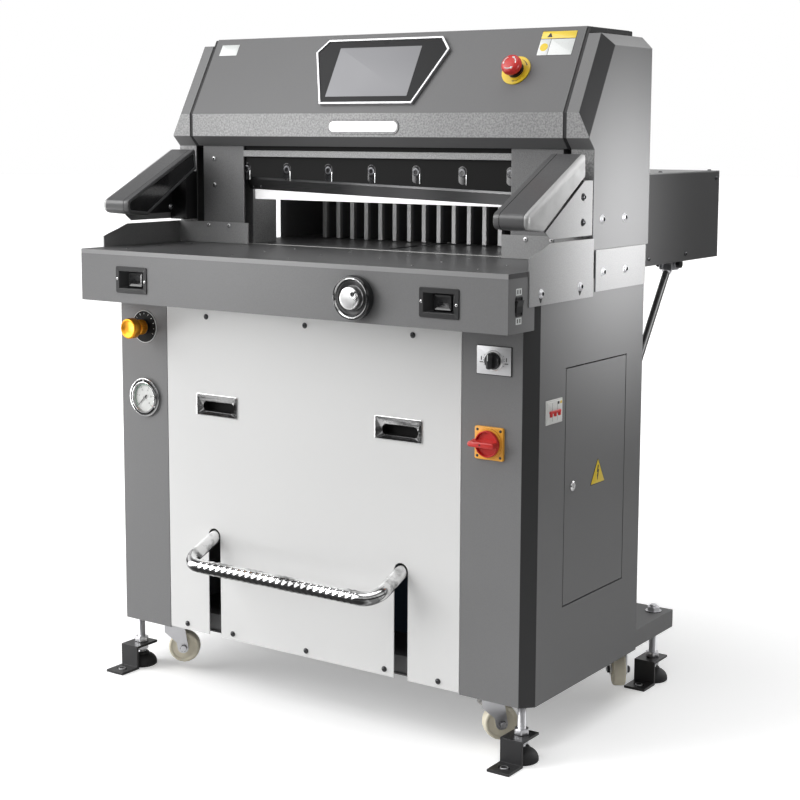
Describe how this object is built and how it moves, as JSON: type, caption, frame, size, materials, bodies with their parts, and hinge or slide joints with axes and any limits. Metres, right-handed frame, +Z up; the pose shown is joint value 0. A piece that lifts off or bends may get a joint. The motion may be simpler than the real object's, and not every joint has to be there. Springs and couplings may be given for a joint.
{
  "type": "guillotine paper cutter",
  "caption": "Floor-standing hydraulic guillotine that cuts stacks of paper: table with a clamped throat, sloping knife, back gauge, hood with touch screen, light guards, pedal and casters.",
  "frame": {"origin": "centre of the machine's footprint at floor level", "axes": "+Z up, -Y towards the operator at the front, +X towards the side with the electrical door"},
  "size_m": [1.03, 1.086, 1.334],
  "materials": {
    "body_paint": "textured dark grey powder coat",
    "hood_paint": "textured mid grey powder coat",
    "white_paint": "smooth off-white powder coat",
    "black_paint": "satin black",
    "cast_table": "ground and polished, bare",
    "cast_frame": "painted casting",
    "bright_steel": "ground",
    "zinc": "zinc plated",
    "chrome": "polished",
    "aluminium": "satin anodised",
    "black_plastic": "moulded, satin",
    "screen_glass": "gloss front with a pale display area",
    "red_plastic": "moulded, gloss",
    "orange_plastic": "moulded, gloss",
    "yellow_plate": "printed plate",
    "white_plastic": "moulded",
    "cream_nylon": "moulded nylon",
    "rubber": "moulded, matt",
    "pump_metal": "painted"
  },
  "bodies": {
    "frame": {"base_frame": "body_paint", "left_column": "body_paint", "right_column": "body_paint", "front_panel": "white_paint", "panel_pulls": "chrome", "rear_panel": "body_paint", "table": "cast_table", "apron": "body_paint", "cut_button_housings": "black_plastic", "side_plates": "body_paint", "gantry": "cast_frame", "hood_cover": "hood_paint", "right_cheek": "hood_paint", "left_cheek": "hood_paint", "side_bolts": "zinc", "screen_bezel": "aluminium", "touch_screen": "screen_glass", "right_guard": "black_paint", "left_guard": "black_paint", "guard_brackets": "black_paint", "cutting_stick": "white_plastic", "rear_cover": "body_paint", "rear_lid": "hood_paint", "rear_struts": "chrome", "main_switch_plate": "yellow_plate", "selector_plate": "aluminium", "gauge_case": "chrome", "rocker_frame": "black_plastic", "breaker": "white_plastic", "foot_brackets": "black_paint", "levelling_feet": "rubber", "power_pack": "pump_metal"},
    "knife_slider": {"knife_slide_blocks": "bright_steel"},
    "knife_beam": {"knife_bar": "black_paint", "knife": "bright_steel", "knife_bolts": "zinc"},
    "clamp_beam": {"clamp": "bright_steel"},
    "fence": {"backgauge": "bright_steel"},
    "screw": {"lead_screw": "bright_steel"},
    "hand_wheel": {"handwheel": "black_plastic"},
    "left_button": {"left_cut_button": "black_plastic"},
    "right_button": {"right_cut_button": "black_plastic"},
    "stop_button": {"estop_button": "red_plastic"},
    "throttle": {"throttle_knob": "orange_plastic"},
    "main_switch": {"main_switch_knob": "red_plastic"},
    "selector": {"selector_knob": "black_plastic"},
    "lamp_rocker": {"rocker": "black_plastic"},
    "foot_pedal": {"pedal": "chrome"},
    "door": {"electrical_door": "body_paint"},
    "lock": {"door_lock": "chrome"},
    "breaker_handle": {"breaker_toggle": "red_plastic"},
    "needle": {"gauge_needle": "black_paint"},
    "front_left_swivel": {"front_left_fork": "zinc"},
    "front_left_roller": {"front_left_wheel": "cream_nylon"},
    "front_right_swivel": {"front_right_fork": "zinc"},
    "front_right_roller": {"front_right_wheel": "cream_nylon"},
    "rear_left_swivel": {"rear_left_fork": "zinc"},
    "rear_left_roller": {"rear_left_wheel": "cream_nylon"},
    "rear_right_swivel": {"rear_right_fork": "zinc"},
    "rear_right_roller": {"rear_right_wheel": "cream_nylon"}
  },
  "joints": [
    {"name": "knife_stroke", "type": "slide", "parent": "frame", "child": "knife_slider", "axis": [-0.2939, 0, -0.9558], "range_m": [0, 0.1225]},
    {"name": "knife_level", "type": "hinge", "parent": "knife_slider", "child": "knife_beam", "pos_m": [-0.365, -0.202, 1.152], "axis": [0, -1, 0], "range_deg": [0, 1.6]},
    {"name": "clamp_stroke", "type": "slide", "parent": "frame", "child": "clamp_beam", "axis": [0, 0, -1], "range_m": [0, 0.0947]},
    {"name": "gauge_travel", "type": "slide", "parent": "frame", "child": "fence", "axis": [0, 1, 0], "range_m": [-0.19, 0.388]},
    {"name": "screw_turn", "type": "hinge", "parent": "frame", "child": "screw", "pos_m": [0, 0.173, 0.846], "axis": [0, 1, 0], "range_deg": [-14100, 6900]},
    {"name": "hand_wheel_turn", "type": "hinge", "parent": "frame", "child": "hand_wheel", "pos_m": [0.188, -0.527, 0.842], "axis": [0, 1, 0], "continuous": true},
    {"name": "left_cut_press", "type": "slide", "parent": "frame", "child": "left_button", "axis": [0, 1, 0], "range_m": [0, 0.005], "stiffness_N_per_m": 500, "springref_m": -0.004},
    {"name": "right_cut_press", "type": "slide", "parent": "frame", "child": "right_button", "axis": [0, 1, 0], "range_m": [0, 0.005], "stiffness_N_per_m": 500, "springref_m": -0.004},
    {"name": "stop_press", "type": "slide", "parent": "frame", "child": "stop_button", "axis": [0, 0.8762, -0.4819], "range_m": [0, 0.005]},
    {"name": "throttle_turn", "type": "hinge", "parent": "frame", "child": "throttle", "pos_m": [-0.418, -0.447, 0.7375], "axis": [0, 1, 0], "range_deg": [-180, 180]},
    {"name": "main_switch_turn", "type": "hinge", "parent": "frame", "child": "main_switch", "pos_m": [0.4175, -0.437, 0.587], "axis": [0, 1, 0], "range_deg": [0, 90]},
    {"name": "selector_turn", "type": "hinge", "parent": "frame", "child": "selector", "pos_m": [0.4247, -0.437, 0.7365], "axis": [0, 1, 0], "range_deg": [-45, 45]},
    {"name": "lamp_switch_tip", "type": "hinge", "parent": "frame", "child": "lamp_rocker", "pos_m": [0.504, -0.482, 0.8425], "axis": [0, 1, 0], "range_deg": [-14, 0]},
    {"name": "pedal_press", "type": "hinge", "parent": "frame", "child": "foot_pedal", "pos_m": [0, -0.337, 0.355], "axis": [1, 0, 0], "range_deg": [0, 12], "stiffness_Nm_per_rad": 20, "springref_deg": -34.38},
    {"name": "door_swing", "type": "hinge", "parent": "frame", "child": "door", "pos_m": [0.5015, -0.077, 0.494], "axis": [0, 0, 1], "range_deg": [0, 110]},
    {"name": "lock_turn", "type": "hinge", "parent": "door", "child": "lock", "pos_m": [0.5, -0.279, 0.494], "axis": [1, 0, 0], "range_deg": [-90, 0]},
    {"name": "breaker_flip", "type": "hinge", "parent": "frame", "child": "breaker_handle", "pos_m": [0.499, -0.354, 0.643], "axis": [0, 1, 0], "range_deg": [-20, 20]},
    {"name": "needle_turn", "type": "hinge", "parent": "frame", "child": "needle", "pos_m": [-0.419, -0.43, 0.59], "axis": [0, 1, 0], "range_deg": [0, 270], "stiffness_Nm_per_rad": 0.0005, "springref_deg": -22.92},
    {"name": "front_left_swivel_turn", "type": "hinge", "parent": "frame", "child": "front_left_swivel", "pos_m": [-0.392, -0.379, 0.1], "axis": [0, 0, 1], "continuous": true},
    {"name": "front_left_wheel_roll", "type": "hinge", "parent": "front_left_swivel", "child": "front_left_roller", "pos_m": [-0.37387, -0.36654, 0.05], "axis": [-0.5664, 0.8241, 0], "continuous": true},
    {"name": "front_right_swivel_turn", "type": "hinge", "parent": "frame", "child": "front_right_swivel", "pos_m": [0.392, -0.379, 0.1], "axis": [0, 0, 1], "continuous": true},
    {"name": "front_right_wheel_roll", "type": "hinge", "parent": "front_right_swivel", "child": "front_right_roller", "pos_m": [0.407, -0.36291, 0.05], "axis": [-0.7314, 0.682, 0], "continuous": true},
    {"name": "rear_left_swivel_turn", "type": "hinge", "parent": "frame", "child": "rear_left_swivel", "pos_m": [-0.44, 0.047, 0.1], "axis": [0, 0, 1], "continuous": true},
    {"name": "rear_left_wheel_roll", "type": "hinge", "parent": "rear_left_swivel", "child": "rear_left_roller", "pos_m": [-0.44752, 0.02633, 0.05], "axis": [0.9397, -0.342, 0], "continuous": true},
    {"name": "rear_right_swivel_turn", "type": "hinge", "parent": "frame", "child": "rear_right_swivel", "pos_m": [0.44, 0.047, 0.1], "axis": [0, 0, 1], "continuous": true},
    {"name": "rear_right_wheel_roll", "type": "hinge", "parent": "rear_right_swivel", "child": "rear_right_roller", "pos_m": [0.45246, 0.02887, 0.05], "axis": [0.8241, 0.5664, 0], "continuous": true}
  ],
  "couplings": [
    {"joint": "knife_level", "follows": "knife_stroke", "rad_per_m": 0.2255},
    {"joint": "screw_turn", "follows": "gauge_travel", "rad_per_m": -628.32}
  ]
}
